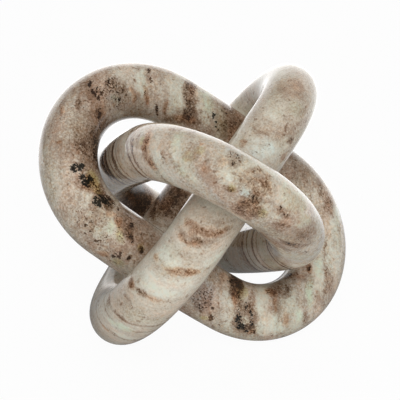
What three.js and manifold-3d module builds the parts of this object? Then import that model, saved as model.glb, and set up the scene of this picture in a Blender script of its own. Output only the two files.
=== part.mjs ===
// Marble chain link sculpture: three loose oval links of round polished bar,
// threaded through each other so that no two are linked but the three cannot part.
// Millimetres, +Z up. X runs to the right, Y away from the viewer, the table is Z = 0.

import * as THREE from 'three';
import { mergeVertices } from 'three/addons/utils/BufferGeometryUtils.js';
import Module from 'manifold-3d';

const wasm = await Module();
wasm.setup();

// Thickness of each link's round bar
const FRONT_BAR = 25.0;
const UPRIGHT_BAR = 24.4;
const CROSS_BAR = 22.8;

// Width of a link between the centres of its two long strands, the same for all three
const STRAND_SPACING = 72.2;
// How much tighter each end bends than half the strand spacing, which bows the long strands
const END_TIGHTENING = 0.8;
// Play of a link's strands between the two ends of the hole that they pass through
const END_PLAY = 2.4;
// Clearance where the other two links lean against the front one
const LEAN_CLEARANCE = 0.4;
// Clearance where the upright and cross links pass each other without leaning
const PASSING_CLEARANCE = 1.2;
// Depth of the small flat lapped on each link where it stands
const FOOT_DEPTH = 0.4;

// Where the other two links' centres lie from the front link's before the links settle together
const UPRIGHT_SHIFT_RIGHT = 1.9;
const UPRIGHT_SHIFT_BACK = -1.6;
const CROSS_SHIFT_RIGHT = -1.7;
const CROSS_SHIFT_BACK = -7.7;

// Steps along each link and sides round its bar
const STEPS_ALONG = 72;
const SIDES_ROUND = 20;

// How each link leans, as turns about X, Y and Z in degrees, and where it starts on the table
const LINKS = [
  {
    name: 'front_link',
    bar: FRONT_BAR,
    lean: [41.1, 22.7, -24.4],
    start: [0, 0],
    colour: 0xb3a898,
    roughness: 0.22,
  },
  {
    name: 'upright_link',
    bar: UPRIGHT_BAR,
    lean: [165.6, 52.2, -33.6],
    start: [UPRIGHT_SHIFT_RIGHT, UPRIGHT_SHIFT_BACK],
    colour: 0xb8a592,
    roughness: 0.22,
  },
  {
    name: 'cross_link',
    bar: CROSS_BAR,
    lean: [-44.1, 25.8, -71.2],
    start: [CROSS_SHIFT_RIGHT, CROSS_SHIFT_BACK],
    colour: 0xaba393,
    roughness: 0.2,
  },
];

// Derived sizes of the oval that every bar follows
const THICKEST_BAR = Math.max(...LINKS.map((link) => link.bar));
const HALF_WIDTH = STRAND_SPACING / 2;
const HALF_LENGTH = HALF_WIDTH + THICKEST_BAR + END_PLAY;
const END_RADIUS = HALF_WIDTH - END_TIGHTENING;

// Settling: points compared on each oval, rounds of closing gaps and then of pushing apart only,
// and the error at which it stops
const SETTLE_POINTS = 240;
const CLOSING_ROUNDS = 150;
const PUSHING_ROUNDS = 150;
const SETTLED = 0.001;
// Corners closer than this are one corner
const MERGE_DISTANCE = 0.001;

// Flat closed oval of four arcs: tight ends at +X and -X, long bowed sides at +Y and -Y
class OvalCentreline extends THREE.Curve {
  constructor(halfLength, halfWidth, endRadius) {
    super();
    this.endCentre = halfLength - endRadius;
    this.endRadius = endRadius;
    this.sideRadius =
      (this.endCentre ** 2 + halfWidth ** 2 - endRadius ** 2) / (2 * (halfWidth - endRadius));
    this.sideCentre = halfWidth - this.sideRadius;
    this.joinAngle = Math.atan2(-this.sideCentre, this.endCentre);
    this.endLength = this.endRadius * this.joinAngle;
    this.sideLength = this.sideRadius * (Math.PI / 2 - this.joinAngle);
    this.arcLengthDivisions = 4 * STEPS_ALONG;
  }

  // Point on the quarter from the +X tip to the middle of the +Y side
  quarterPoint(distance) {
    if (distance < this.endLength) {
      const angle = distance / this.endRadius;
      return [this.endCentre + this.endRadius * Math.cos(angle), this.endRadius * Math.sin(angle)];
    }
    const angle = this.joinAngle + (distance - this.endLength) / this.sideRadius;
    return [this.sideRadius * Math.cos(angle), this.sideCentre + this.sideRadius * Math.sin(angle)];
  }

  getPoint(t, target = new THREE.Vector3()) {
    const quarterLength = this.endLength + this.sideLength;
    const travelled = (t - Math.floor(t)) * 4;
    const quarter = Math.min(Math.floor(travelled), 3);
    const along = (travelled - quarter) * quarterLength;
    const mirrored = quarter % 2 === 1;
    const [x, y] = this.quarterPoint(mirrored ? quarterLength - along : along);
    const signX = quarter === 1 || quarter === 2 ? -1 : 1;
    const signY = quarter < 2 ? 1 : -1;
    return target.set(signX * x, signY * y, 0);
  }
}

const centreline = new OvalCentreline(HALF_LENGTH, HALF_WIDTH, END_RADIUS);

function turnOf(link) {
  const [x, y, z] = link.lean.map(THREE.MathUtils.degToRad);
  return new THREE.Quaternion().setFromEuler(new THREE.Euler(x, y, z, 'XYZ'));
}

// Closed ring of round bar with its seam merged
function ringGeometry(link) {
  const ring = new THREE.TubeGeometry(centreline, STEPS_ALONG, link.bar / 2, SIDES_ROUND, true);
  ring.deleteAttribute('normal');
  ring.deleteAttribute('uv');
  return mergeVertices(ring, MERGE_DISTANCE);
}

// Height of the centre that puts the ring's lowest corner a foot's depth under the table
function standingHeight(geometry, turn) {
  const corner = new THREE.Vector3();
  const positions = geometry.getAttribute('position');
  let lowest = Infinity;
  for (let i = 0; i < positions.count; i += 1) {
    corner.fromBufferAttribute(positions, i).applyQuaternion(turn);
    lowest = Math.min(lowest, corner.z);
  }
  return -lowest - FOOT_DEPTH;
}

function turnedPoints(turn) {
  const points = [];
  for (let i = 0; i < SETTLE_POINTS; i += 1) {
    points.push(centreline.getPoint(i / SETTLE_POINTS).applyQuaternion(turn));
  }
  return points;
}

// Shortest way from one ring's centreline to another's
function nearestWay(from, to) {
  const offset = new THREE.Vector3().subVectors(to.centre, from.centre);
  const way = new THREE.Vector3();
  const best = new THREE.Vector3();
  let shortest = Infinity;
  for (const a of from.points) {
    for (const b of to.points) {
      way.subVectors(b, a).add(offset);
      const length = way.lengthSq();
      if (length < shortest) {
        shortest = length;
        best.copy(way);
      }
    }
  }
  return best;
}

// Slides two links on the table until their bars have the clearance. A gap that is too wide is
// closed only when asked
function seatTogether(first, second, clearance, closesGaps) {
  const way = nearestWay(first, second);
  const wanted = (first.link.bar + second.link.bar) / 2 + clearance;
  const missing = wanted - way.length();
  if (missing <= 0 && !closesGaps) {
    return 0;
  }
  const level = new THREE.Vector3(way.x, way.y, 0);
  const step = (missing * way.length()) / level.lengthSq();
  second.centre.addScaledVector(level, step / 2);
  first.centre.addScaledVector(level, -step / 2);
  return Math.abs(missing);
}

function settle(placed, rounds, closesGaps) {
  const [front, upright, cross] = placed;
  for (let round = 0; round < rounds; round += 1) {
    const worst = Math.max(
      seatTogether(front, upright, LEAN_CLEARANCE, closesGaps),
      seatTogether(upright, cross, PASSING_CLEARANCE, closesGaps),
      seatTogether(cross, front, LEAN_CLEARANCE, closesGaps),
    );
    if (worst < SETTLED) {
      return;
    }
  }
}

function toManifold(geometry) {
  const positions = geometry.getAttribute('position').array;
  const mesh = new wasm.Mesh({
    numProp: 3,
    vertProperties: new Float32Array(positions),
    triVerts: new Uint32Array(geometry.getIndex().array),
  });
  return new wasm.Manifold(mesh);
}

function fromManifold(solid) {
  const mesh = solid.getMesh();
  const geometry = new THREE.BufferGeometry();
  geometry.setAttribute('position', new THREE.BufferAttribute(mesh.vertProperties, 3));
  geometry.setIndex(new THREE.BufferAttribute(mesh.triVerts, 1));
  geometry.computeVertexNormals();
  return geometry;
}

// Everything under the table, as a block in the link's own frame
function underTable(matrix) {
  const size = 4 * HALF_LENGTH;
  const block = new THREE.BoxGeometry(size, size, size);
  block.translate(0, 0, -size / 2);
  block.applyMatrix4(matrix.clone().invert());
  block.deleteAttribute('normal');
  block.deleteAttribute('uv');
  return mergeVertices(block, MERGE_DISTANCE);
}

const placed = LINKS.map((link) => {
  const turn = turnOf(link);
  const geometry = ringGeometry(link);
  const centre = new THREE.Vector3(...link.start, standingHeight(geometry, turn));
  return { link, turn, geometry, centre, points: turnedPoints(turn) };
});
settle(placed, CLOSING_ROUNDS, true);
settle(placed, PUSHING_ROUNDS, false);

const group = new THREE.Group();
for (const { link, turn, geometry, centre } of placed) {
  const matrix = new THREE.Matrix4().compose(centre, turn, new THREE.Vector3(1, 1, 1));
  const stood = toManifold(geometry).subtract(toManifold(underTable(matrix)));
  const material = new THREE.MeshStandardMaterial({
    color: link.colour,
    roughness: link.roughness,
    metalness: 0,
  });
  const mesh = new THREE.Mesh(fromManifold(stood), material);
  mesh.name = link.name;
  mesh.quaternion.copy(turn);
  mesh.position.copy(centre);
  group.add(mesh);
}

// The origin is on the table under the middle of the three links
const box = new THREE.Box3().setFromObject(group, true);
group.position.set(-(box.min.x + box.max.x) / 2, -(box.min.y + box.max.y) / 2, 0);

export default group;
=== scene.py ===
"""Marble chain link sculpture: three loose oval links of round polished stone bar.

Each link's fine ring stands where its plain solid stands. Metres, +Z up. Sizes in millimetres are
multiplied by MM, and the stone's pattern is laid out in millimetres in each link's own frame.
"""

import math
from types import SimpleNamespace
from typing import NamedTuple

import bpy
import numpy as np
from mathutils import Matrix, Vector, noise
from mathutils.bvhtree import BVHTree


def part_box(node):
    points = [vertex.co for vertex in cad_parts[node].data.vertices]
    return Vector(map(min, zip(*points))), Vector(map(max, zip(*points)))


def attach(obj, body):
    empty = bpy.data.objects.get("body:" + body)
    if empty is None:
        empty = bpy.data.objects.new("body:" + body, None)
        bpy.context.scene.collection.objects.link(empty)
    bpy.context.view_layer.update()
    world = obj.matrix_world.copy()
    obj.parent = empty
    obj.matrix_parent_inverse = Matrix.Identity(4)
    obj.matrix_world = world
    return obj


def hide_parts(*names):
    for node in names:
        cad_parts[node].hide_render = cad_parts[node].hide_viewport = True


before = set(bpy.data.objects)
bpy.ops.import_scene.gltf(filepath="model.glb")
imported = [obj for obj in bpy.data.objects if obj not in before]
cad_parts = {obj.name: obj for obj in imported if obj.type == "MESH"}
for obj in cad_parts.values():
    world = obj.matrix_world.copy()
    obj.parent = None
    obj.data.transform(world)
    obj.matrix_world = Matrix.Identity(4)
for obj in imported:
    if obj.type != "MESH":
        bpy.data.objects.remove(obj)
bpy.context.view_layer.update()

MM = 0.001

# The oval that every bar follows, in millimetres between bar centres
STRAND_SPACING = 72.2
END_TIGHTENING = 0.8
THICKEST_BAR = 25.0
END_PLAY = 2.4
HALF_WIDTH = STRAND_SPACING / 2
HALF_LENGTH = HALF_WIDTH + THICKEST_BAR + END_PLAY
END_RADIUS = HALF_WIDTH - END_TIGHTENING
# Depth of the lapped flat that a link stands on
FOOT_DEPTH = 0.4
# How far the polished surface lies within the bar's full thickness, and how deep and how long its
# shallow swells are, in millimetres
SKIN = 0.08
WAVE_DEPTH = 0.12
WAVE_LENGTH = 16.0

# Steps along each link and sides round its bar
STEPS_ALONG = 420
SIDES_ROUND = 96

# Camera: place and aim in millimetres, roll in degrees
CAMERA_PLACE = (-9.2, -359.6, 253.2)
CAMERA_AIM = (0.2, -1.2, 54.3)
CAMERA_ROLL = 2.73
# Side of the square picture and focal length in its pixels, and the same length in its widths
PICTURE_SIZE = 400
FOCAL_PIXELS = 936.1
FOCAL_WIDTHS = FOCAL_PIXELS / PICTURE_SIZE
# Width of the camera's sensor, in millimetres
SENSOR_WIDTH = 36.0
# Nearest and farthest that the camera sees, in metres
CAMERA_REACH = (0.01, 20.0)

# Light: how strong the white surroundings are as light, and in reflections from the front and top
# and from the bright backdrop behind
SURROUNDINGS = 0.06
FRONT_REFLECTION = 0.2
BACK_REFLECTION = 2.0
# Where the bright backdrop fades in from above and from the sides, as parts of a direction of
# length one
BACKDROP_TOP = (0.7, 0.3)
BACKDROP_SIDE = (0.3, 0.8)
# Soft lamps: place and size in metres, and power in watts
LAMPS = [
    ("key", (0.0, -0.85, 1.0), 0.8, 10.0),
    ("front", (0.4, -1.2, 0.15), 0.8, 6.8),
    ("top", (0.0, 0.2, 1.2), 1.0, 3.4),
    ("back", (0.1, 1.3, 0.6), 1.0, 8.0),
]
# White floor: its side in metres, how much of its look is its own glow, and its surface's tone
FLOOR_SIZE = 6.0
FLOOR_GLOW = 0.96
FLOOR_TONE = 0.7
# Floor in reflections: how bright it is near, where it dims towards the front and where it turns
# into the bright backdrop, by metres behind the middle
FLOOR_REFLECTION = 0.5
FRONT_EDGE = (-0.45, -0.05)
BACKDROP_EDGE = (0.02, 0.2)
# Metres from the middle at which the floor that the sculpture reflects is shaded by it and at which
# it is free of its shade, and how much of it is left where it is shaded
SHADED_REACH = (0.03, 0.12)
SHADED_REFLECTION = 0.35


def srgb(red, green, blue):
    """Linear colour, with alpha, from 8-bit display values."""
    parts = []
    for value in (red, green, blue):
        share = value / 255
        parts.append(share / 12.92 if share <= 0.04045 else ((share + 0.055) / 1.055) ** 2.4)
    return (*parts, 1.0)


# Tones of the ground from the darkest grains to the palest patches, by their place on the scale
TONES = [
    (0.0, srgb(50, 38, 30)),
    (0.2, srgb(92, 70, 53)),
    (0.36, srgb(136, 112, 92)),
    (0.5, srgb(169, 152, 135)),
    (0.62, srgb(197, 186, 169)),
    (0.8, srgb(220, 215, 202)),
]
# The stone's blackest marks
BLACK_GREEN = srgb(14, 16, 12)
# What the pink casts and the coloured grains multiply the ground's colour by
PINK_CAST = (1.1, 0.96, 0.9)
WARM_GRAINS = (1.03, 0.9, 0.79)
COOL_GRAINS = (0.95, 1.01, 1.05)
# The same for the tinted kinds of mark, after how much of the tint shows where the mark is full
MARK_TINTS = [
    ("pale", 0.9, (0.94, 1.0, 0.98)),
    ("rust", 0.8, (1.2, 0.86, 0.62)),
    ("olive", 0.8, (0.95, 0.95, 0.5)),
    ("grey", 0.8, (0.9, 0.98, 1.12)),
    ("mint", 0.8, (0.92, 1.04, 0.93)),
]
# How much of a cast and of the blackest marks shows where it is full
CAST_SHARE = 0.5
BLACK_SHARE = 0.95

# Half the depth of bedding that the ramp of bands or lines spans, in millimetres
BED_RANGE = 80.0


class Lumps(NamedTuple):
    """A noise of the stone: seed, size of its lumps in millimetres, detail and roughness."""

    seed: float
    size: float
    detail: float
    roughness: float


# Size, detail and roughness of the folds of the bedding, which each link seeds by itself
FOLD = (34.0, 1.5, 0.5)
CRINKLE = (5.0, 3.0, 0.6)
CRINKLE_SEED = 5
# Noises that all three links share, from wide drifts along the bedding to single grains
DRIFT = Lumps(13, 40.0, 3.0, 0.5)
CLOUD = Lumps(17, 15.0, 4.0, 0.6)
CAST = Lumps(37, 26.0, 3.0, 0.55)
STREAK = Lumps(43, 7.0, 4.0, 0.65)
PATCHES = Lumps(51, 24.0, 3.0, 0.6)
BREAKS = Lumps(31, 12.0, 4.0, 0.6)
SPOTS = Lumps(53, 8.0, 2.0, 0.5)
LUMP = Lumps(19, 5.5, 3.0, 0.6)
SPECKS = Lumps(61, 2.2, 1.0, 0.5)
HUE = Lumps(41, 1.4, 1.0, 0.5)
GRAIN = Lumps(23, 1.2, 3.0, 0.7)
FLECKS = Lumps(47, 0.9, 2.0, 0.7)
FINE = Lumps(29, 0.7, 1.0, 0.5)
# How far each step of a noise's seed moves it along X, Y and Z, in millimetres
SEED_SHIFT = (37.0, 11.0, 23.0)
# How many times the height of a place is added again where patches and streaks are pressed flat
PATCH_PRESS = 2.0
STREAK_PRESS = 5.0

# Where a noise begins to show and where it is full
BREAK_EDGE = (0.38, 0.62)
PEPPER_EDGE = (-0.04, 0.2)
LINE_EDGE = (-0.2, -0.04)
SPECK_EDGE = (0.66, 0.72)
GREEN_CAST_EDGE = (0.0, 0.14)
PINK_CAST_EDGE = (0.0, -0.14)
WARM_GRAIN_EDGE = (0.02, 0.16)
COOL_GRAIN_EDGE = (-0.02, -0.16)
# The same for the patches on the sides that the picture doesn't show
BROWN_PATCH = (0.54, 0.64)
DARK_SPOT = (0.62, 0.72)
PALE_PATCH = (0.44, 0.36)
BLACK_SPOT = (0.34, 0.28)

# How much each layer lightens or darkens the tone
FINE_WEIGHT = 0.3
# Veils darken the tone; some are dark stone and some are painted shade where strands shade each
# other
VEIL_AND_SHADE_WEIGHT = -0.14
BROWN_WEIGHT = -0.27
FRECKLE_WEIGHT = -0.17
SPECK_WEIGHT = -0.14
DARK_WEIGHT = -0.42
PALE_WEIGHT = 0.2
# How much coarser the grain is in brown stone and how much finer in pale, and its least
BROWN_COARSENING = 1.1
PALE_SMOOTHING = -0.25
LEAST_GRAIN = 0.08
# How much lumps and grains shake the edge of a mark, and the strength at which a mark is whole
LUMP_SHAKE = 1.4
GRAIN_SHAKE = 0.9
WHOLE_MARK = 0.25
# How much of the shaking pale, dark and black marks take
PALE_SHAKE = 0.5
DARK_SHAKE = 0.6
BLACK_SHAKE = 0.7
# Level above which grains show at density 0, its fall to density 1, and how soft their edges are
SPECKLE_LEVEL = 0.78
SPECKLE_FALL = -0.62
GRAIN_SOFTNESS = 0.12
BLACK_SOFTNESS = 0.1
# Density of the dark grains in brown stone
FRECKLE_DENSITY = 0.75

# Tone at which the stone begins to count as dark and at which it does so fully
DARK_TONE = (0.4, 0.1)
# How much duller the polish is where it is dark, and how much lumps change it
DARK_DULLNESS = 0.12
LUMP_DULLNESS = 0.05
# Pits of the dark stone: how strongly they show, and their depth in millimetres
PIT_STRENGTH = 0.15
PIT_DEPTH = 0.1


class Mark(NamedTuple):
    """A mark of the stone: where the picture shows it, its half sizes and its strength.

    Across and down are pixels in the picture. Thick is millimetres through the bedding and length
    is millimetres along it, both from the middle.
    """

    across: float
    down: float
    thick: float
    length: float
    strength: float


# Folds that make the marks' outlines wander: length and width in millimetres, and their seed
MARK_FOLDS = [(9.0, 1.5), (3.5, 0.6)]
FOLD_SEED = 5
# How many half sizes from its middle a mark has faded out
MARK_EDGE = 1.5
# Kinds of mark, three to each mesh attribute that carries them
MARK_KINDS = {
    "marks_low": ("veil_and_shade", "brown", "dark"),
    "marks_tint": ("pale", "rust", "olive"),
    "marks_deep": ("black", "grey", "mint"),
}

# Where the marks that the picture can't show begin and are full, by how far the stone faces the
# camera, as a cosine
UNSEEN_START = 0.15
UNSEEN_FULL = -0.25


class Oval:
    """Flat closed oval of four arcs, tight at its ends and bowed along its sides."""

    def __init__(self):
        self.end_centre = HALF_LENGTH - END_RADIUS
        bow = self.end_centre**2 + HALF_WIDTH**2 - END_RADIUS**2
        self.side_radius = bow / (2 * (HALF_WIDTH - END_RADIUS))
        self.side_centre = HALF_WIDTH - self.side_radius
        self.join = math.atan2(-self.side_centre, self.end_centre)
        self.end_length = END_RADIUS * self.join
        self.side_length = self.side_radius * (math.pi / 2 - self.join)
        self.quarter = self.end_length + self.side_length
        self.length = 4 * self.quarter

    def at(self, distance):
        """Centre point and outward direction at a distance along the oval from its +X tip."""
        distance %= self.length
        quarter = min(int(distance / self.quarter), 3)
        along = distance - quarter * self.quarter
        if quarter % 2 == 1:
            along = self.quarter - along
        if along < self.end_length:
            angle = along / END_RADIUS
            radius = END_RADIUS
            centre = Vector((self.end_centre, 0, 0))
        else:
            angle = self.join + (along - self.end_length) / self.side_radius
            radius = self.side_radius
            centre = Vector((0, self.side_centre, 0))
        outward = Vector((math.cos(angle), math.sin(angle), 0))
        point = centre + radius * outward
        mirror = Vector((-1 if quarter in (1, 2) else 1, 1 if quarter < 2 else -1, 1))
        return point * mirror, outward * mirror


OVAL = Oval()


def turn_of(lean):
    """Rotation for the lean angles, turning about Z, then Y, then X."""
    x, y, z = (math.radians(angle) for angle in lean)
    return Matrix.Rotation(x, 3, "X") @ Matrix.Rotation(y, 3, "Y") @ Matrix.Rotation(z, 3, "Z")


def ring_mesh(link):
    """Fine closed ring in the link's place, and its own coordinates in millimetres."""
    low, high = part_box(link.name)
    low.z -= FOOT_DEPTH * MM
    link.centre = (low + high) / 2
    link.turn = turn_of(link.lean)
    places, owns = [], []
    for step in range(STEPS_ALONG):
        point, outward = OVAL.at(step * OVAL.length / STEPS_ALONG)
        for side in range(SIDES_ROUND):
            angle = 2 * math.pi * side / SIDES_ROUND
            normal = math.cos(angle) * outward + math.sin(angle) * Vector((0, 0, 1))
            own = point + link.bar / 2 * normal
            wave = noise.noise(own / WAVE_LENGTH + Vector((link.seed, 0, 0)))
            inset = SKIN + WAVE_DEPTH * (0.5 + 0.5 * wave)
            place = link.turn @ ((own - inset * normal) * MM) + link.centre
            place.z = max(place.z, 0.0)
            places.append(place)
            owns.append(own)
    faces = []
    for step in range(STEPS_ALONG):
        here = step * SIDES_ROUND
        after = (step + 1) % STEPS_ALONG * SIDES_ROUND
        for side in range(SIDES_ROUND):
            beside = (side + 1) % SIDES_ROUND
            faces.append((here + side, after + side, after + beside, here + beside))
    mesh = bpy.data.meshes.new(link.name + "_stone")
    mesh.from_pydata(places, [], faces)
    mesh.polygons.foreach_set("use_smooth", [True] * len(faces))
    mesh.update()
    return mesh, np.array(owns)


def picture_ray(camera, mark):
    """Start and direction of the ray through a place in the picture."""
    right = (mark.across / PICTURE_SIZE - 0.5) / FOCAL_WIDTHS
    up = (0.5 - mark.down / PICTURE_SIZE) / FOCAL_WIDTHS
    turn = camera.matrix_world.to_3x3()
    return camera.matrix_world.translation, (turn @ Vector((right, up, -1))).normalized()


def wandered(place):
    """A place shifted by folds of the stone, wide and then fine, in millimetres."""
    shift = Vector((0, 0, 0))
    for length, width in MARK_FOLDS:
        shift += width * noise.noise_vector(place / length)
    return place + shift


def mark_field(link, marks, tree, camera, owns):
    """Strength of one kind of mark at every corner of a link."""
    bed = np.array(Vector(link.bed).normalized())
    field = np.zeros(len(owns))
    for mark in marks:
        start, direction = picture_ray(camera, mark)
        hit = tree.ray_cast(start, direction)[0]
        if hit is None:
            raise ValueError(f"{link.name} has no stone at {mark.across}, {mark.down}")
        middle = np.array(wandered(link.turn.transposed() @ (hit - link.centre) / MM))
        offset = owns - middle
        across = offset @ bed
        along = np.sqrt(np.maximum((offset**2).sum(1) - across**2, 0))
        reach = np.clip(MARK_EDGE - np.hypot(across / mark.thick, along / mark.length), 0, 1)
        field = np.maximum(field, mark.strength * reach**2 * (3 - 2 * reach))
    return field


def unseen_share(mesh, camera):
    """How far each corner of a link faces away from the picture, from 0 to 1."""
    places = np.array([corner.co for corner in mesh.vertices])
    normals = np.array([corner.normal for corner in mesh.vertices])
    ways = np.array(camera.matrix_world.translation) - places
    ways /= np.linalg.norm(ways, axis=1, keepdims=True)
    facing = (normals * ways).sum(1)
    return np.clip((UNSEEN_START - facing) / (UNSEEN_START - UNSEEN_FULL), 0, 1)


def keep_vectors(mesh, name, vectors):
    """Stores a vector for every corner of the mesh."""
    layer = mesh.attributes.new(name, "FLOAT_VECTOR", "POINT")
    layer.data.foreach_set("vector", vectors.ravel())


def keep_attributes(link, mesh, owns, camera):
    """Stores the stone's coordinates and the fields of its marks on the mesh."""
    keep_vectors(mesh, "stone", owns)
    unseen = mesh.attributes.new("unseen", "FLOAT", "POINT")
    unseen.data.foreach_set("value", unseen_share(mesh, camera))
    folded = np.array([wandered(Vector(own)) for own in owns])
    places = [corner.co for corner in mesh.vertices]
    tree = BVHTree.FromPolygons(places, [tuple(face.vertices) for face in mesh.polygons])
    for name, kinds in MARK_KINDS.items():
        fields = []
        for kind in kinds:
            fields.append(mark_field(link, link.marks.get(kind, ()), tree, camera, folded))
        keep_vectors(mesh, name, np.stack(fields, 1))


class Graph:
    """Short calls that add nodes to one tree, of a material or of the surroundings."""

    def __init__(self, owner):
        owner.use_nodes = True
        self.tree = owner.node_tree

    def put(self, socket, value):
        """Links or sets a socket."""
        if isinstance(value, bpy.types.NodeSocket):
            self.tree.links.new(value, socket)
        else:
            socket.default_value = value

    def node(self, kind, **settings):
        """New node with its settings."""
        made = self.tree.nodes.new(kind)
        for name, value in settings.items():
            setattr(made, name, value)
        return made

    def math(self, operation, *values):
        """Sum, product or the like of up to three numbers."""
        made = self.node("ShaderNodeMath", operation=operation)
        for socket, value in zip(made.inputs, values):
            self.put(socket, value)
        return made.outputs[0]

    def vector(self, operation, *values):
        """The same of vectors, which gives a number for a length or a dot product."""
        made = self.node("ShaderNodeVectorMath", operation=operation)
        for socket, value in zip(made.inputs, values):
            self.put(socket, value)
        return made.outputs["Value" if operation in ("DOT_PRODUCT", "LENGTH") else "Vector"]

    def scaled(self, vector, factor):
        """Vector times a number."""
        made = self.node("ShaderNodeVectorMath", operation="SCALE")
        self.put(made.inputs[0], vector)
        self.put(made.inputs["Scale"], factor)
        return made.outputs["Vector"]

    def noise(self, vector, kind, output="Fac"):
        """Noise of a kind, round a half."""
        made = self.node("ShaderNodeTexNoise")
        seed, size, detail, roughness = kind
        shift = tuple(seed * way for way in SEED_SHIFT)
        self.put(made.inputs["Vector"], self.vector("ADD", vector, shift))
        self.put(made.inputs["Scale"], 1 / size)
        self.put(made.inputs["Detail"], detail)
        self.put(made.inputs["Roughness"], roughness)
        return made.outputs[output]

    def lumps(self, vector, kind):
        """Noise of a kind, round zero."""
        return self.math("SUBTRACT", self.noise(vector, kind), 0.5)

    def folds(self, vector, kind, width):
        """Shift by folds of a kind, as wide as the width says."""
        fold = self.vector("SUBTRACT", self.noise(vector, kind, "Color"), (0.5, 0.5, 0.5))
        return self.scaled(fold, width)

    def step(self, value, start, end, low=0.0, high=1.0):
        """Smooth step from low at start to high at end."""
        made = self.node("ShaderNodeMapRange", interpolation_type="SMOOTHSTEP")
        for socket, given in zip(made.inputs, (value, start, end, low, high)):
            self.put(socket, given)
        return made.outputs[0]

    def mix(self, factor, first, second, data_type="FLOAT", kind="Float"):
        """Number between two numbers, or another kind of value between two others."""
        made = self.node("ShaderNodeMix", data_type=data_type)
        sockets = {socket.identifier: socket for socket in made.inputs}
        self.put(sockets["Factor_Float"], factor)
        self.put(sockets["A_" + kind], first)
        self.put(sockets["B_" + kind], second)
        return next(socket for socket in made.outputs if socket.identifier == "Result_" + kind)

    def blend(self, factor, first, second):
        """Colour between two colours."""
        return self.mix(factor, first, second, "RGBA", "Color")

    def tint(self, colour, share, tint):
        """Colour multiplied by a tint, as far as the share says."""
        return self.blend(share, colour, self.vector("MULTIPLY", colour, tint))

    def most(self, *values):
        """Largest of several values."""
        found = values[0]
        for value in values[1:]:
            found = self.math("MAXIMUM", found, value)
        return found

    def attribute(self, name, output="Vector"):
        """Attribute of the mesh."""
        return self.node("ShaderNodeAttribute", attribute_name=name).outputs[output]

    def parts(self, vector):
        """The three numbers of a vector."""
        made = self.node("ShaderNodeSeparateXYZ")
        self.put(made.inputs[0], vector)
        return tuple(made.outputs)

    def ramp(self, place, stops):
        """Ramp of colours with its stops, each a place from 0 to 1 and a colour."""
        made = self.node("ShaderNodeValToRGB")
        self.put(made.inputs["Fac"], place)
        elements = made.color_ramp.elements
        elements.remove(elements[1])
        elements[0].position, elements[0].color = stops[0]
        for position, colour in stops[1:]:
            elements.new(position).color = colour
        return made


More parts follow.
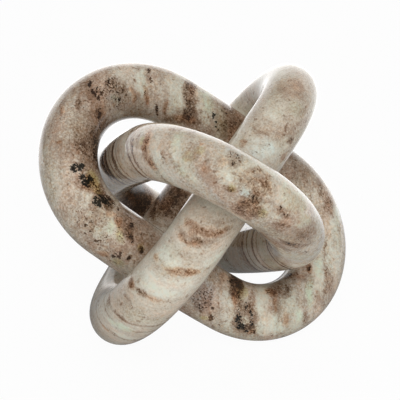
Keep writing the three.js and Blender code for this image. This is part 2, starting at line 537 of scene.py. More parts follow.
class Stone:
    """Layers of one link's marble, as nodes of its material."""

    def __init__(self, link, graph):
        self.link = link
        self.graph = graph
        self.own = graph.attribute("stone")

        # Folds of the bedding, wide and fine
        self.bed = tuple(Vector(link.bed).normalized())
        fold = graph.folds(self.own, Lumps(link.seed, *FOLD), link.fold)
        crinkle = graph.folds(self.own, Lumps(link.seed + CRINKLE_SEED, *CRINKLE), link.crinkle)
        self.place = graph.vector("ADD", graph.vector("ADD", self.own, fold), crinkle)
        self.height = graph.vector("DOT_PRODUCT", self.place, self.bed)

        # Noises that several layers share
        self.streaked = self.pressed(PATCH_PRESS)
        self.cloud = graph.lumps(self.streaked, CLOUD)
        self.lump = graph.lumps(self.own, LUMP)
        self.grain = graph.lumps(self.own, GRAIN)
        self.flecks = graph.noise(self.own, FLECKS)

        # Marks by kind, and joined on the sides that the picture doesn't show by patches
        self.marks = {}
        for name, kinds in MARK_KINDS.items():
            self.marks.update(zip(kinds, graph.parts(graph.attribute(name))))
        self.joined = dict(self.marks)
        unseen = graph.attribute("unseen", "Fac")
        patch = graph.noise(self.streaked, PATCHES)
        spot = graph.noise(self.own, SPOTS)
        patches = [
            ("brown", patch, BROWN_PATCH, link.patchiness),
            ("dark", spot, DARK_SPOT, link.patchiness),
            ("pale", patch, PALE_PATCH, link.patchiness),
            ("black", spot, BLACK_SPOT, link.blackness),
        ]
        for kind, field, edge, strength in patches:
            found = graph.math("MULTIPLY", unseen, graph.step(field, *edge, 0.0, strength))
            self.joined[kind] = graph.most(self.marks[kind], found)

    def pressed(self, times):
        """Places raised through the bedding, so that noises read there come out pressed flat."""
        shift = self.graph.scaled(self.bed, self.graph.math("MULTIPLY", self.height, times))
        return self.graph.vector("ADD", self.place, shift)

    def uneven(self, kind, amount=1.0):
        """A kind of mark with its edge broken up, and nothing where the mark isn't."""
        field = self.joined[kind]
        shaken = self.graph.math("MULTIPLY_ADD", self.lump, LUMP_SHAKE * amount, field)
        shaken = self.graph.math("MULTIPLY_ADD", self.grain, GRAIN_SHAKE * amount, shaken)
        inside = self.graph.step(field, 0.0, WHOLE_MARK)
        return self.graph.math("MULTIPLY", inside, self.graph.math("MAXIMUM", shaken, 0.0))

    def speckle(self, density, soft=GRAIN_SOFTNESS):
        """Coverage by single grains, from none at density 0 to all at density 1."""
        limit = self.graph.math("MULTIPLY_ADD", density, SPECKLE_FALL, SPECKLE_LEVEL)
        return self.graph.step(self.graph.math("SUBTRACT", self.flecks, limit), 0.0, soft)

    def profile(self, bands):
        """Strength of bands or lines through the bedding, full in their middle thirds."""
        stops = [(0.0, (0, 0, 0, 1))]
        for at, half, strength in bands:
            core = half / 3
            for offset, value in ((-half, 0.0), (-core, strength), (core, strength), (half, 0.0)):
                stops.append((0.5 + 0.5 * (at + offset) / BED_RANGE, (value, value, value, 1)))
        share = self.graph.math("MULTIPLY_ADD", self.height, 0.5 / BED_RANGE, 0.5)
        made = self.graph.ramp(share, stops)
        made.color_ramp.interpolation = "EASE"
        return made.outputs["Color"]

    def brown(self):
        """How brown each place is, from its bands, its marks and its clouds."""
        graph = self.graph
        broken = graph.step(graph.noise(self.own, BREAKS), *BREAK_EDGE)
        bands = graph.math("MULTIPLY", self.profile(self.link.bands), broken)
        peppering = graph.step(self.cloud, *PEPPER_EDGE, 0.0, self.link.peppering)
        return graph.most(bands, self.uneven("brown"), peppering)

    def dark(self):
        """How dark each place is, from its fine lines and its marks of dark grains."""
        gaps = self.graph.step(self.lump, *LINE_EDGE)
        lines = self.graph.math("MULTIPLY", self.profile(self.link.lines), gaps)
        return self.graph.most(lines, self.speckle(self.uneven("dark", DARK_SHAKE)))

    def tone(self):
        """Tone at each place, from wide drifts to grains, which are coarser where it is brown."""
        graph = self.graph
        link = self.link
        brown = self.brown()
        layers = [
            (graph.lumps(self.streaked, DRIFT), link.drifting),
            (self.cloud, link.clouding),
            (graph.lumps(self.pressed(STREAK_PRESS), STREAK), link.streaking),
            (self.lump, link.lumpiness),
            (graph.lumps(self.own, FINE), FINE_WEIGHT),
            # Veils: dark stone, and painted shade under strands and in the hollows between the
            # links
            (self.marks["veil_and_shade"], VEIL_AND_SHADE_WEIGHT),
            (brown, BROWN_WEIGHT),
            (self.speckle(graph.math("MULTIPLY", brown, FRECKLE_DENSITY)), FRECKLE_WEIGHT),
            (graph.step(graph.noise(self.own, SPECKS), *SPECK_EDGE), SPECK_WEIGHT),
            (self.dark(), DARK_WEIGHT),
            (self.uneven("pale", PALE_SHAKE), PALE_WEIGHT),
        ]
        tone = link.level
        for layer, weight in layers:
            tone = graph.math("MULTIPLY_ADD", layer, weight, tone)
        coarse = graph.math("MULTIPLY_ADD", brown, BROWN_COARSENING, link.graininess)
        coarse = graph.math("MULTIPLY_ADD", self.marks["pale"], PALE_SMOOTHING, coarse)
        coarse = graph.math("MAXIMUM", coarse, LEAST_GRAIN)
        return graph.math("ADD", tone, graph.math("MULTIPLY", self.grain, coarse))

    def colour(self, tone, blackest):
        """Colour of each tone, with the casts and the tints of marks and of single grains."""
        graph = self.graph
        link = self.link
        cast = graph.lumps(self.streaked, CAST)
        hue = graph.lumps(self.own, HUE)
        tints = [
            (graph.step(cast, *GREEN_CAST_EDGE, 0.0, CAST_SHARE), link.green_cast),
            (graph.step(cast, *PINK_CAST_EDGE, 0.0, CAST_SHARE), PINK_CAST),
        ]
        for kind, share, tint in MARK_TINTS:
            tints.append((graph.math("MULTIPLY", self.uneven(kind), share), tint))
        tints.append((graph.step(hue, *WARM_GRAIN_EDGE, 0.0, link.colouring), WARM_GRAINS))
        tints.append((graph.step(hue, *COOL_GRAIN_EDGE, 0.0, link.colouring), COOL_GRAINS))
        colour = graph.ramp(tone, TONES).outputs["Color"]
        for share, tint in tints:
            colour = graph.tint(colour, share, tint)
        return graph.blend(graph.math("MULTIPLY", blackest, BLACK_SHARE), colour, BLACK_GREEN)

    def polish(self, surface, tone, blackest):
        """Sets the polish, duller and slightly pitted where the stone is dark."""
        graph = self.graph
        darkness = graph.most(blackest, graph.step(tone, *DARK_TONE))
        dull = graph.math("MULTIPLY_ADD", darkness, DARK_DULLNESS, self.link.dullness)
        graph.put(surface["Roughness"], graph.math("MULTIPLY_ADD", self.lump, LUMP_DULLNESS, dull))
        graph.put(surface["IOR"], self.link.ior)
        bump = graph.node("ShaderNodeBump")
        graph.put(bump.inputs["Strength"], PIT_STRENGTH)
        graph.put(bump.inputs["Distance"], PIT_DEPTH * MM)
        graph.put(bump.inputs["Height"], graph.math("SUBTRACT", 1.0, darkness))
        graph.put(surface["Normal"], bump.outputs["Normal"])


def marble(link):
    """Material of a link's polished stone."""
    material = bpy.data.materials.new(link.slot)
    graph = Graph(material)
    surface = graph.tree.nodes["Principled BSDF"].inputs
    stone = Stone(link, graph)
    tone = stone.tone()
    blackest = stone.speckle(stone.uneven("black", BLACK_SHAKE), BLACK_SOFTNESS)
    graph.put(surface["Base Color"], stone.colour(tone, blackest))
    stone.polish(surface, tone, blackest)
    return material


# Marks of each link, by their kind
FRONT_MARKS = {
    "veil_and_shade": [
        Mark(75, 120, 15, 24, 0.9),
        Mark(100, 200, 12, 10, 0.3),
        Mark(200, 300, 8, 9, 0.6),
        Mark(222, 305, 4, 9, 0.4),
        Mark(236, 287, 3, 8, 1),
        Mark(300, 168, 14, 10, 0.9),
        Mark(285, 280, 7, 4, 0.5),
        Mark(98, 140, 8, 20, 1),
        Mark(108, 236, 16, 14, 0.3),
        Mark(140, 235, 7, 10, 0.9),
        # Painted shade under the top strand, along the upper edge of the hole
        Mark(135, 112, 5, 12, 1),
        Mark(118, 258, 5, 5, 0.8),
        Mark(190, 118, 12, 4, 0.7),
        Mark(228, 120, 12, 16, 0.8),
    ],
    "brown": [
        Mark(100, 128, 3, 12, 0.6),
        Mark(176, 119, 8, 2.5, 0.5),
        Mark(116, 86, 6, 5, 0.6),
        Mark(96, 96, 2.5, 4, 0.5),
        Mark(118, 104, 5, 4, 0.5),
        Mark(148, 72, 1.2, 6, 0.6),
        Mark(147, 94, 1.2, 5, 0.6),
        Mark(157, 111, 0.8, 4, 0.9),
        Mark(165, 108, 1, 3.5, 0.6),
        Mark(135, 95, 0.8, 4, 0.4),
        Mark(189, 96, 2.6, 12, 0.8),
        Mark(194, 86, 2.5, 4, 0.6),
        Mark(189, 114, 2.4, 5, 0.7),
        Mark(181, 116, 3, 3, 0.5),
        Mark(230, 122, 6, 12, 0.6),
        Mark(236, 117, 3, 4, 0.5),
        Mark(92, 150, 6, 13, 0.7),
        Mark(60, 108, 1, 5, 0.5),
        Mark(77, 104, 1, 3, 0.4),
        Mark(60, 142, 1.2, 1.2, 0.8),
        Mark(78, 152, 1.2, 1.2, 0.8),
        Mark(88, 182, 5, 5, 0.6),
        Mark(101, 192, 3, 4, 0.7),
        Mark(108, 204, 4, 4, 0.8),
        Mark(123, 218, 4, 7, 0.6),
        Mark(130, 230, 1.8, 6, 0.7),
        Mark(141, 250, 1.2, 2.2, 0.7),
        Mark(129, 258, 1, 1.5, 0.8),
        Mark(103, 255, 3.5, 1.8, 0.5),
        Mark(115, 240, 3, 2, 0.3),
        Mark(204, 304, 4, 5, 0.4),
        Mark(220, 277, 1.2, 4, 0.5),
        Mark(213, 272, 2, 5, 0.4),
        Mark(237, 281, 3.4, 9, 1),
        Mark(240, 318, 3.5, 8, 0.7),
        Mark(249, 320, 4.5, 8, 0.75),
        Mark(252, 300, 1.5, 5, 0.4),
        Mark(253, 328, 1.5, 3, 0.6),
        Mark(271, 292, 2.5, 3.5, 0.7),
        Mark(282, 288, 4.5, 5, 0.7),
        Mark(290, 276, 3, 2.5, 0.7),
        Mark(275, 306, 1, 4, 0.4),
        Mark(286, 320, 1.2, 3, 0.5),
        Mark(309, 268, 1.5, 3, 0.7),
        Mark(300, 278, 3, 1.5, 0.4),
        Mark(306, 318, 1.8, 4, 0.5),
        Mark(318, 298, 1.2, 4, 0.4),
        Mark(322, 190, 2, 6, 0.5),
        Mark(328, 206, 2, 5, 0.6),
        Mark(293, 172, 1.2, 1.2, 0.4),
        Mark(306, 174, 1.4, 2.4, 0.4),
        Mark(334, 243, 2, 3.5, 0.5),
    ],
    "dark": [
        Mark(90, 83, 1.4, 2.8, 0.8),
        Mark(98, 98, 1.6, 1.6, 0.75),
        Mark(102, 93, 1.1, 1.3, 0.7),
        Mark(98, 106, 0.8, 4, 0.5),
        Mark(99, 116, 0.6, 7, 0.6),
        Mark(108, 90, 12, 12, 0.32),
        Mark(76, 130, 14, 16, 0.22),
        Mark(94, 93, 1, 1.6, 0.7),
        Mark(78, 168, 5, 4, 0.35),
        Mark(88, 180, 5, 4, 0.35),
        Mark(108, 83, 2.2, 1.2, 0.6),
        Mark(116, 86, 2.5, 2, 0.5),
        Mark(118, 100, 3, 2.4, 0.5),
        Mark(149, 71, 0.8, 3, 0.6),
        Mark(151, 80, 0.8, 1.6, 0.7),
        Mark(146, 93, 0.8, 1.6, 0.6),
        Mark(157, 112, 0.7, 4, 0.8),
        Mark(187, 104, 1.2, 6, 0.45),
        Mark(190, 116, 1.2, 3, 0.5),
        Mark(196, 88, 1.5, 2, 0.45),
        Mark(193, 92, 1, 4, 0.4),
        Mark(230, 124, 5, 9, 0.25),
        Mark(232, 138, 2, 4, 0.45),
        Mark(228, 113, 2.4, 3, 0.4),
        Mark(225, 108, 1, 2, 0.45),
        Mark(96, 150, 2, 7, 0.5),
        Mark(92, 185, 3, 2.5, 0.5),
        Mark(108, 200, 4, 3, 0.6),
        Mark(117, 207, 2, 2, 0.5),
        Mark(122, 222, 3, 5, 0.35),
        Mark(112, 243, 8, 7, 0.32),
        Mark(86, 214, 7, 8, 0.3),
        Mark(100, 224, 4, 4, 0.3),
        Mark(119, 256, 1.4, 3, 0.5),
        Mark(111, 262, 3, 1.2, 0.5),
        Mark(104, 262, 2, 3, 0.3),
        Mark(131, 236, 1.4, 3.5, 0.55),
        Mark(132, 225, 0.8, 1.6, 0.8),
        Mark(142, 250, 0.8, 1.8, 0.8),
        Mark(129, 258, 0.8, 1.0, 0.9),
        Mark(86, 226, 0.7, 0.7, 0.9),
        Mark(84, 233, 0.7, 0.7, 0.8),
        Mark(90, 232, 0.6, 0.6, 0.8),
        Mark(97, 241, 1.6, 0.8, 0.7),
        Mark(107, 236, 0.6, 0.6, 0.6),
        Mark(106, 252, 1, 1, 0.6),
        Mark(113, 256, 0.7, 0.7, 0.8),
        Mark(142, 234, 0.8, 0.8, 0.7),
        Mark(203, 298, 4.5, 7, 0.43),
        Mark(211, 318, 1.1, 2.6, 0.9),
        Mark(213, 309, 1, 1.4, 0.7),
        Mark(197, 296, 1.5, 1.5, 0.5),
        Mark(239, 294, 2, 4, 0.5),
        Mark(235, 280, 3, 7, 0.5),
        Mark(254, 332, 1, 1.5, 0.7),
        Mark(268, 292, 1.2, 1.4, 0.5),
        Mark(284, 288, 2, 2, 0.4),
        Mark(288, 275, 2, 1.5, 0.6),
        Mark(309, 268, 0.8, 1.6, 0.6),
        Mark(328, 206, 1.2, 2.5, 0.38),
        Mark(322, 190, 1.2, 2.2, 0.28),
        Mark(293, 172, 0.8, 0.8, 0.35),
        Mark(306, 174, 0.8, 1.6, 0.3),
    ],
    "black": [
        Mark(77, 168, 3, 2.2, 0.7),
        Mark(82, 166, 2, 2, 0.78),
        Mark(72, 170, 1, 1, 0.5),
        Mark(82, 177, 1.6, 1.4, 0.75),
        Mark(86, 182, 2, 1.8, 0.75),
        Mark(91, 178, 1.6, 1.4, 0.7),
        Mark(97, 202, 2.2, 2.4, 0.75),
        Mark(102, 199, 2.6, 2, 0.8),
        Mark(107, 202, 1.8, 2.2, 0.65),
        Mark(214, 116, 0.7, 2, 0.7),
        Mark(216, 124, 0.7, 2, 0.6),
        Mark(218, 130, 0.8, 1.2, 0.6),
        Mark(242, 309, 1.2, 2.2, 0.5),
        Mark(239, 318, 1.5, 3.5, 0.7),
        Mark(241, 326, 2, 2, 0.72),
        Mark(246, 306, 1.3, 2.4, 0.6),
        Mark(252, 318, 1.1, 3.5, 0.68),
        Mark(247, 331, 1.6, 0.8, 0.6),
    ],
    "pale": [
        Mark(176, 92, 3.4, 12, 0.45),
        Mark(170, 80, 2, 4, 0.4),
        Mark(206, 104, 3.6, 10, 0.5),
        Mark(140, 82, 1.8, 7, 0.6),
        Mark(155, 86, 1.6, 5, 0.3),
        Mark(97, 233, 2.6, 2.5, 0.5),
        Mark(112, 228, 2, 4, 0.6),
        Mark(92, 214, 2.5, 2.5, 0.3),
        Mark(86, 198, 2, 4, 0.4),
        Mark(119, 238, 1.5, 3, 0.5),
        Mark(227, 308, 2.6, 9, 0.5),
        Mark(262, 296, 2.6, 9, 1),
        Mark(268, 324, 5, 5, 1),
        Mark(277, 330, 3, 3, 0.8),
        Mark(318, 275, 3.4, 9, 0.9),
        Mark(309, 292, 1.6, 7, 0.7),
        Mark(246, 321, 1.4, 1.6, 1),
        Mark(298, 322, 2.5, 5, 0.6),
        Mark(292, 300, 2, 6, 0.3),
        Mark(338, 214, 1.4, 6, 0.7),
        Mark(333, 250, 3, 14, 0.5),
    ],
    "mint": [
        Mark(309, 290, 1.6, 7, 0.8),
        Mark(318, 268, 2, 5, 0.4),
        Mark(118, 263, 3, 3, 0.8),
        Mark(112, 226, 1, 3, 0.6),
        Mark(300, 316, 1.6, 3, 0.5),
        Mark(208, 104, 2.4, 6, 0.4),
        Mark(116, 98, 3, 2, 0.5),
        Mark(222, 124, 3, 9, 0.6),
        Mark(176, 92, 2, 8, 0.1),
    ],
    "olive": [
        Mark(95, 180, 2.6, 4, 0.9),
        Mark(98, 190, 2.2, 2, 0.7),
        Mark(92, 172, 2, 2, 0.5),
        Mark(120, 234, 1.4, 4, 0.4),
        Mark(204, 318, 2, 1.6, 0.7),
        Mark(242, 290, 2.4, 4, 0.6),
        Mark(118, 262, 3, 2, 0.25),
        Mark(141, 248, 1.2, 1.6, 0.7),
    ],
    "rust": [
        Mark(111, 214, 3.5, 1.6, 0.6),
        Mark(119, 222, 1.6, 3, 0.6),
        Mark(103, 254, 3, 1.6, 0.8),
        Mark(62, 109, 1, 3, 0.6),
        Mark(104, 110, 1.5, 3.5, 0.4),
        Mark(60, 142, 1, 1, 0.8),
        Mark(78, 152, 1, 1, 0.6),
        Mark(147, 95, 1, 4, 0.8),
        Mark(165, 107, 1, 3, 0.7),
        Mark(134, 95, 0.8, 4, 0.6),
        Mark(181, 118, 2.5, 2, 0.7),
        Mark(191, 120, 1.4, 1.6, 0.6),
        Mark(193, 90, 2, 4, 0.4),
        Mark(235, 298, 1, 5, 0.7),
        Mark(224, 277, 2, 4, 0.4),
        Mark(270, 292, 2.4, 2.4, 0.8),
        Mark(275, 304, 0.8, 4, 0.6),
        Mark(252, 332, 2, 1.5, 0.9),
        Mark(286, 320, 1.2, 3, 0.8),
        Mark(309, 268, 1.2, 2.4, 0.6),
        Mark(300, 276, 2, 1, 0.5),
        Mark(206, 304, 3, 3, 0.15),
        Mark(233, 136, 3, 5, 0.5),
        Mark(92, 185, 4, 4, 0.3),
    ],
    "grey": [
        Mark(202, 294, 5, 7, 0.9),
        Mark(116, 98, 4, 3.5, 0.5),
        Mark(227, 308, 3, 8, 0.3),
    ],
}
UPRIGHT_MARKS = {
    "veil_and_shade": [
        Mark(284, 108, 24, 20, 0.85),
        Mark(268, 134, 3, 9, 0.4),
        Mark(215, 225, 5, 10, 0.4),
        Mark(120, 305, 6, 9, 0.2),
        # Painted shade in the rear hollow of the link, over stone that is partly dark there too
        Mark(163, 203, 10, 12, 1),
        Mark(246, 92, 6, 6, 0.6),
    ],
    "brown": [
        # Brown stone there, darkened further as painted shade of the rear hollow
        Mark(168, 200, 10, 12, 0.75),
        Mark(290, 86, 1.5, 7, 0.12),
        Mark(272, 136, 0.6, 9, 0.45),
        Mark(275, 129, 0.8, 8, 0.1),
        Mark(243, 142, 1.6, 2.4, 0.6),
        Mark(262, 145, 0.8, 2.6, 0.5),
        Mark(291, 141, 1.2, 3, 0.6),
        Mark(284, 156, 1.4, 3, 0.5),
        Mark(206, 233, 0.9, 12, 0.55),
        Mark(194, 240, 0.5, 6, 0.5),
        Mark(228, 227, 1, 4, 0.6),
        Mark(188, 243, 0.5, 4, 0.5),
        Mark(210, 245, 0.7, 6, 0.4),
        Mark(156, 257, 0.7, 1.8, 0.6),
        Mark(162, 263, 0.7, 2.5, 0.4),
        Mark(184, 272, 1.5, 7, 0.65),
        Mark(131, 283, 1.8, 2.8, 0.7),
        Mark(141, 292, 0.8, 2.8, 0.7),
        Mark(165, 302, 0.6, 7, 0.35),
        Mark(108, 303, 1.8, 3, 0.4),
        Mark(128, 300, 1.4, 3.5, 0.4),
        Mark(122, 318, 0.8, 4, 0.5),
        Mark(110, 331, 0.8, 3, 0.6),
    ],
    "rust": [
        Mark(206, 233, 1.1, 12, 0.4),
        Mark(188, 243, 0.6, 4, 0.6),
        Mark(184, 272, 1.5, 7, 0.6),
        Mark(131, 283, 1.8, 2.8, 0.6),
        Mark(163, 203, 3, 5, 0.5),
        Mark(243, 142, 1.4, 2.2, 0.5),
        Mark(156, 257, 0.9, 1.8, 0.6),
        Mark(107, 330, 1, 3, 0.7),
        Mark(155, 300, 0.8, 4, 0.4),
        Mark(290, 86, 2, 7, 0.2),
        Mark(268, 132, 1.6, 8, 0.15),
        Mark(284, 156, 1.4, 3, 0.4),
    ],
    "pale": [
        Mark(266, 148, 3, 6, 0.5),
        Mark(260, 158, 2.6, 3.6, 0.3),
        Mark(277, 114, 2.2, 6, 0.25),
        Mark(165, 258, 2.4, 6, 0.6),
        Mark(150, 277, 2, 4, 0.6),
        Mark(160, 290, 2, 8, 0.7),
        Mark(215, 258, 2, 6, 0.4),
        Mark(180, 284, 1.2, 7, 0.4),
        Mark(118, 326, 1.4, 6, 0.8),
        Mark(128, 338, 1.2, 6, 0.8),
    ],
    "dark": [
        Mark(134, 284, 0.8, 1.4, 0.25),
        Mark(170, 302, 0.6, 2, 0.5),
        Mark(186, 270, 0.6, 4, 0.15),
        Mark(212, 232, 0.6, 6, 0.2),
        Mark(243, 144, 0.8, 1.3, 0.5),
        # Dark grains there, partly standing in as painted shade of the rear hollow
        Mark(165, 203, 7, 9, 0.34),
        Mark(112, 332, 0.6, 1.6, 0.6),
        Mark(292, 139, 0.8, 1.6, 0.4),
        Mark(262, 148, 3, 6, 0.28),
    ],
    "grey": [
        Mark(264, 150, 5, 8, 0.6),
        Mark(272, 68, 3, 7, 0.6),
        Mark(98, 300, 3, 6, 0.4),
    ],
    "mint": [
        Mark(118, 326, 1.6, 6, 0.5),
        Mark(296, 108, 3, 4, 0.4),
        Mark(150, 284, 2, 5, 0.3),
    ],
}
CROSS_MARKS = {
    "veil_and_shade": [
        Mark(250, 188, 7, 10, 0.4),
        Mark(290, 228, 16, 14, 1),
        Mark(205, 175, 8, 10, 0.3),
        Mark(224, 199, 5, 14, 0.6),
        Mark(298, 205, 12, 12, 0.5),
        # Painted shade deep between the links, over stone that is partly dark there too
        Mark(132, 197, 14, 14, 1),
        Mark(110, 165, 8, 12, 0.5),
    ],
    "brown": [
        # These two are brown stone there, darkened further as painted shade deep between the links
        Mark(136, 199, 12, 12, 0.85),
        Mark(142, 202, 5, 6, 0.9),
        Mark(106, 165, 4, 9, 0.7),
        Mark(145, 146, 1.8, 7, 0.6),
        Mark(152, 163, 1.6, 4, 0.6),
        Mark(132, 150, 0.8, 7, 0.6),
        Mark(172, 129, 1, 1, 0.7),
        Mark(163, 156, 0.8, 4, 0.5),
        Mark(171, 158, 0.8, 3.5, 0.5),
        Mark(205, 172, 3, 5, 0.2),
        Mark(220, 166, 3, 3.5, 0.25),
        Mark(190, 150, 3, 5, 0.25),
        Mark(254, 176, 2.4, 5, 0.4),
        Mark(247, 180, 2, 5, 0.45),
        Mark(237, 160, 1, 3.5, 0.6),
        Mark(258, 188, 2.4, 6, 0.6),
        Mark(250, 190, 3, 6, 0.5),
        Mark(252, 199, 3, 4, 0.7),
        Mark(242, 207, 4, 3, 0.75),
        Mark(256, 213, 4, 2.4, 0.65),
        Mark(265, 200, 1.5, 4, 0.5),
        Mark(230, 189, 0.9, 2.4, 0.7),
        Mark(283, 213, 1.6, 4, 0.5),
        Mark(280, 226, 2.6, 3.5, 0.5),
        Mark(308, 232, 3.5, 6, 0.3),
        Mark(300, 246, 1.4, 8, 0.6),
        Mark(190, 132, 1.3, 2.2, 0.3),
    ],
    "dark": [
        # These two are dark grains there, partly standing in as painted shade deep between the
        # links
        Mark(134, 198, 11, 11, 0.3),
        Mark(145, 204, 5, 5, 0.5),
        Mark(103, 165, 2.4, 9, 0.9),
        Mark(112, 152, 0.8, 8, 1),
        Mark(115, 163, 1, 3, 1),
        Mark(118, 172, 0.8, 3, 0.7),
        Mark(132, 148, 0.6, 6, 0.7),
        Mark(139, 166, 0.6, 4, 0.5),
        Mark(147, 144, 0.8, 6, 0.35),
        Mark(152, 165, 0.9, 2.4, 0.2),
        Mark(236, 158, 0.6, 3, 0.5),
        Mark(257, 171, 1.4, 2, 0.28),
        Mark(248, 182, 2, 3, 0.25),
        Mark(252, 199, 2, 2, 0.45),
        Mark(254, 207, 3, 2.4, 0.26),
        Mark(241, 208, 3, 2, 0.28),
        Mark(262, 216, 1.6, 2, 0.45),
        Mark(230, 190, 0.7, 1.6, 0.45),
        Mark(281, 207, 0.7, 1.2, 0.7),
        Mark(287, 215, 0.7, 1, 0.5),
        Mark(302, 252, 0.6, 7, 0.5),
        Mark(298, 240, 0.5, 6, 0.35),
        Mark(292, 244, 0.6, 6, 0.4),
        Mark(174, 160, 0.6, 2, 0.4),
    ],
    "pale": [
        Mark(297, 196, 5, 9, 0.3),
        Mark(246, 193, 1.8, 1.8, 0.9),
        Mark(175, 150, 2, 6, 0.7),
        Mark(156, 145, 1.6, 5, 0.4),
        Mark(225, 178, 2.4, 3, 0.4),
        Mark(277, 216, 1.8, 2.6, 0.5),
        Mark(304, 222, 2, 5, 0.4),
        Mark(121, 158, 0.8, 7, 0.6),
        Mark(186, 170, 2.2, 5, 0.3),
        Mark(268, 190, 1.6, 3, 0.4),
    ],
    "rust": [
        Mark(146, 148, 2, 7, 0.6),
        Mark(152, 165, 1.2, 2.4, 0.8),
        Mark(243, 208, 6, 4, 0.45),
        Mark(256, 184, 3, 8, 0.22),
        Mark(222, 162, 2.4, 2, 0.3),
        Mark(205, 170, 2, 2, 0.25),
        Mark(202, 144, 0.8, 0.8, 0.9),
        Mark(285, 222, 2.4, 2.6, 0.25),
        Mark(132, 200, 5, 5, 0.4),
    ],
    "olive": [
        Mark(188, 156, 2, 2.4, 0.3),
        Mark(200, 150, 2.4, 1.6, 0.5),
        Mark(232, 188, 1.2, 2, 0.8),
        Mark(262, 214, 2, 1.6, 0.6),
        Mark(142, 140, 1, 2, 0.4),
    ],
    "mint": [
        Mark(298, 194, 5, 8, 0.5),
        Mark(176, 140, 1.6, 5, 0.6),
        Mark(180, 170, 1.6, 4, 0.4),
        Mark(304, 222, 2, 5, 0.4),
    ],
    "grey": [
        Mark(246, 193, 2.2, 2.2, 1),
        Mark(236, 152, 1.8, 3.5, 0.6),
        Mark(280, 256, 4, 9, 0.6),
        Mark(215, 195, 1.3, 10, 0.6),
        Mark(238, 218, 1.3, 6, 0.6),
    ],
}

# Links, with the three lean angles in degrees and the direction across the bedding. The bar, the
# fold and the crinkle are in millimetres. Level is the tone of the ground, and drifting, clouding,
# streaking, lumpiness and graininess say how much each noise moves it. Peppering is the strength
# of brown clouds, patchiness and blackness that of the patches on the unseen sides, and colouring
# that of the grains' own colours. Dullness is the roughness of the polish, and ior its index of
# refraction. The green cast multiplies the ground's colour. Each band and line has its place
# through the bedding and half its width, both in millimetres, and its strength.
LINKS = [
    SimpleNamespace(
        name="front_link",
        slot="front_marble",
        bar=25.0,
        lean=(41.1, 22.7, -24.4),
        seed=1.0,
        bed=(0.79, 0.33, 0.52),
        fold=5.0,
        crinkle=2.2,
        peppering=0.35,
        level=0.6,
        drifting=0.3,
        clouding=0.35,
        streaking=0.25,
        graininess=0.34,
        colouring=0.6,
        lumpiness=0.2,
        dullness=0.1,
        ior=1.46,
        patchiness=0.7,
        blackness=0.8,
        green_cast=(0.94, 0.99, 0.95),
        bands=[
            (-43, 12, 0.3),
            (-18.8, 1.6, 0.3),
            (-1.5, 4, 0.5),
            (26.5, 4, 0.3),
            (46.5, 2, 0.3),
            (56.5, 4, 0.4),
        ],
        lines=[
            (35, 0.8, 0.25),
        ],
        marks=FRONT_MARKS,
    ),
    SimpleNamespace(
        name="upright_link",
        slot="upright_marble",
        bar=24.4,
        lean=(165.6, 52.2, -33.6),
        seed=2.0,
        bed=(-0.423, -0.813, 0.401),
        fold=4.0,
        crinkle=1.6,
        peppering=0.1,
        level=0.67,
        drifting=0.25,
        clouding=0.2,
        streaking=0.3,
        graininess=0.14,
        colouring=0.4,
        lumpiness=0.1,
        dullness=0.04,
        ior=1.28,
        patchiness=0.3,
        blackness=0.0,
        green_cast=(0.96, 1.0, 0.95),
        bands=[
            (-55, 4, 0.15),
            (-48, 3, 0.2),
            (-26, 3, 0.15),
            (-14.7, 1.6, 0.2),
            (5, 4, 0.15),
            (32, 4, 0.15),
        ],
        lines=[
            (-23.5, 0.7, 0.2),
            (-3.3, 0.7, 0.15),
            (11.5, 0.6, 0.35),
            (16, 0.7, 0.3),
            (23.8, 0.7, 0.4),
        ],
        marks=UPRIGHT_MARKS,
    ),
    SimpleNamespace(
        name="cross_link",
        slot="cross_marble",
        bar=22.8,
        lean=(-44.1, 25.8, -71.2),
        seed=3.0,
        bed=(-0.939, -0.103, -0.329),
        fold=3.0,
        crinkle=1.6,
        peppering=0.2,
        level=0.64,
        drifting=0.3,
        clouding=0.3,
        streaking=0.2,
        graininess=0.28,
        colouring=0.6,
        lumpiness=0.18,
        dullness=0.03,
        ior=1.55,
        patchiness=0.5,
        blackness=0.0,
        green_cast=(0.95, 1.0, 0.94),
        bands=[
            (-42.8, 2, 0.4),
            (-53, 2, 0.3),
            (0, 4, 0.4),
            (20, 5, 0.5),
            (45, 5, 0.4),
        ],
        lines=[
            (-4, 1.6, 0.8),
            (-9, 0.9, 0.6),
            (-15.2, 1.3, 1.0),
            (-19.5, 0.8, 0.45),
            (-31.5, 1.0, 0.8),
            (-34.5, 0.8, 0.6),
        ],
        marks=CROSS_MARKS,
    ),
]


def white_surroundings():
    """World that is white to the camera, a soft light, and brightest behind in reflections."""
    world = bpy.data.worlds.new("surroundings")
    bpy.context.scene.world = world
    graph = Graph(world)
    ground = graph.tree.nodes["Background"].inputs
    graph.put(ground["Color"], (1, 1, 1, 1))
    _, back, up = graph.parts(graph.node("ShaderNodeTexCoord").outputs["Generated"])
    low = graph.step(up, *BACKDROP_TOP, FRONT_REFLECTION, BACK_REFLECTION)
    behind = graph.step(back, *BACKDROP_SIDE, FRONT_REFLECTION, low)
    path = graph.node("ShaderNodeLightPath").outputs
    lighting = graph.mix(path["Is Glossy Ray"], SURROUNDINGS, behind)
    graph.put(ground["Strength"], graph.mix(path["Is Camera Ray"], lighting, 1.0))


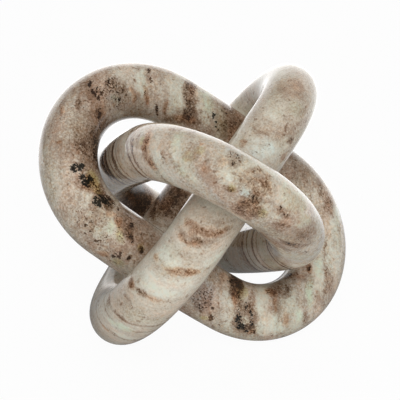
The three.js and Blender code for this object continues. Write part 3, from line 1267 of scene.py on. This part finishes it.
def floor_material():
    """White that keeps a soft shadow and shows as a bright backdrop in reflections."""
    material = bpy.data.materials.new("pale_floor")
    graph = Graph(material)
    graph.tree.nodes.remove(graph.tree.nodes["Principled BSDF"])
    place = graph.node("ShaderNodeTexCoord").outputs["Object"]
    back = graph.parts(place)[1]
    near = graph.step(back, *FRONT_EDGE, FRONT_REFLECTION, FLOOR_REFLECTION)
    backdrop = graph.step(back, *BACKDROP_EDGE, near, BACK_REFLECTION)
    shade = graph.step(graph.vector("LENGTH", place), *SHADED_REACH, SHADED_REFLECTION, 1.0)
    shaded = graph.math("MULTIPLY", backdrop, shade)
    path = graph.node("ShaderNodeLightPath").outputs
    plain = graph.node("ShaderNodeBsdfDiffuse")
    graph.put(plain.inputs["Color"], (FLOOR_TONE, FLOOR_TONE, FLOOR_TONE, 1))
    glow = graph.node("ShaderNodeEmission")
    graph.put(glow.inputs["Strength"], graph.mix(path["Is Glossy Ray"], 1.0, shaded))
    shown = graph.math("MULTIPLY", path["Is Camera Ray"], FLOOR_GLOW)
    share = graph.math("MAXIMUM", shown, path["Is Glossy Ray"])
    mixed = graph.node("ShaderNodeMixShader")
    for socket, value in zip(mixed.inputs, (share, plain.outputs[0], glow.outputs[0])):
        graph.put(socket, value)
    graph.put(graph.tree.nodes["Material Output"].inputs["Surface"], mixed.outputs[0])
    return material


def pale_floor():
    """Floor under the sculpture."""
    half = FLOOR_SIZE / 2
    corners = [(-half, -half, 0), (half, -half, 0), (half, half, 0), (-half, half, 0)]
    mesh = bpy.data.meshes.new("floor")
    mesh.from_pydata(corners, [], [(0, 1, 2, 3)])
    mesh.materials.append(floor_material())
    floor = bpy.data.objects.new("floor", mesh)
    bpy.context.collection.objects.link(floor)


def soft_lamp(name, place, size, power):
    """Square lamp aimed at the middle of the sculpture."""
    data = bpy.data.lights.new(name, "AREA")
    data.size = size
    data.energy = power
    lamp = bpy.data.objects.new(name, data)
    lamp.location = place
    aim = Vector(CAMERA_AIM) * MM - lamp.location
    lamp.rotation_euler = aim.to_track_quat("-Z", "Y").to_euler()
    lamp.visible_glossy = False
    lamp.visible_camera = False
    bpy.context.collection.objects.link(lamp)


def photo_camera():
    """Camera that sees the sculpture as the picture shows it."""
    data = bpy.data.cameras.new("camera")
    data.sensor_width = SENSOR_WIDTH
    data.lens = SENSOR_WIDTH * FOCAL_WIDTHS
    data.clip_start, data.clip_end = CAMERA_REACH
    camera = bpy.data.objects.new("camera", data)
    place = Vector(CAMERA_PLACE) * MM
    aim = Vector(CAMERA_AIM) * MM - place
    roll = Matrix.Rotation(math.radians(CAMERA_ROLL), 3, "Z")
    turn = aim.to_track_quat("-Z", "Y").to_matrix() @ roll
    camera.matrix_world = Matrix.Translation(place) @ turn.to_4x4()
    bpy.context.collection.objects.link(camera)
    bpy.context.scene.camera = camera
    return camera


noise.seed_set(FOLD_SEED)
camera = photo_camera()
for link in LINKS:
    mesh, owns = ring_mesh(link)
    keep_attributes(link, mesh, owns, camera)
    stone = bpy.data.objects.new(link.name + "_stone", mesh)
    bpy.context.collection.objects.link(stone)
    mesh.materials.append(marble(link))
    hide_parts(link.name)
    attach(stone, link.name)

white_surroundings()
pale_floor()
for lamp in LAMPS:
    soft_lamp(*lamp)
bpy.context.scene.view_settings.view_transform = "Standard"
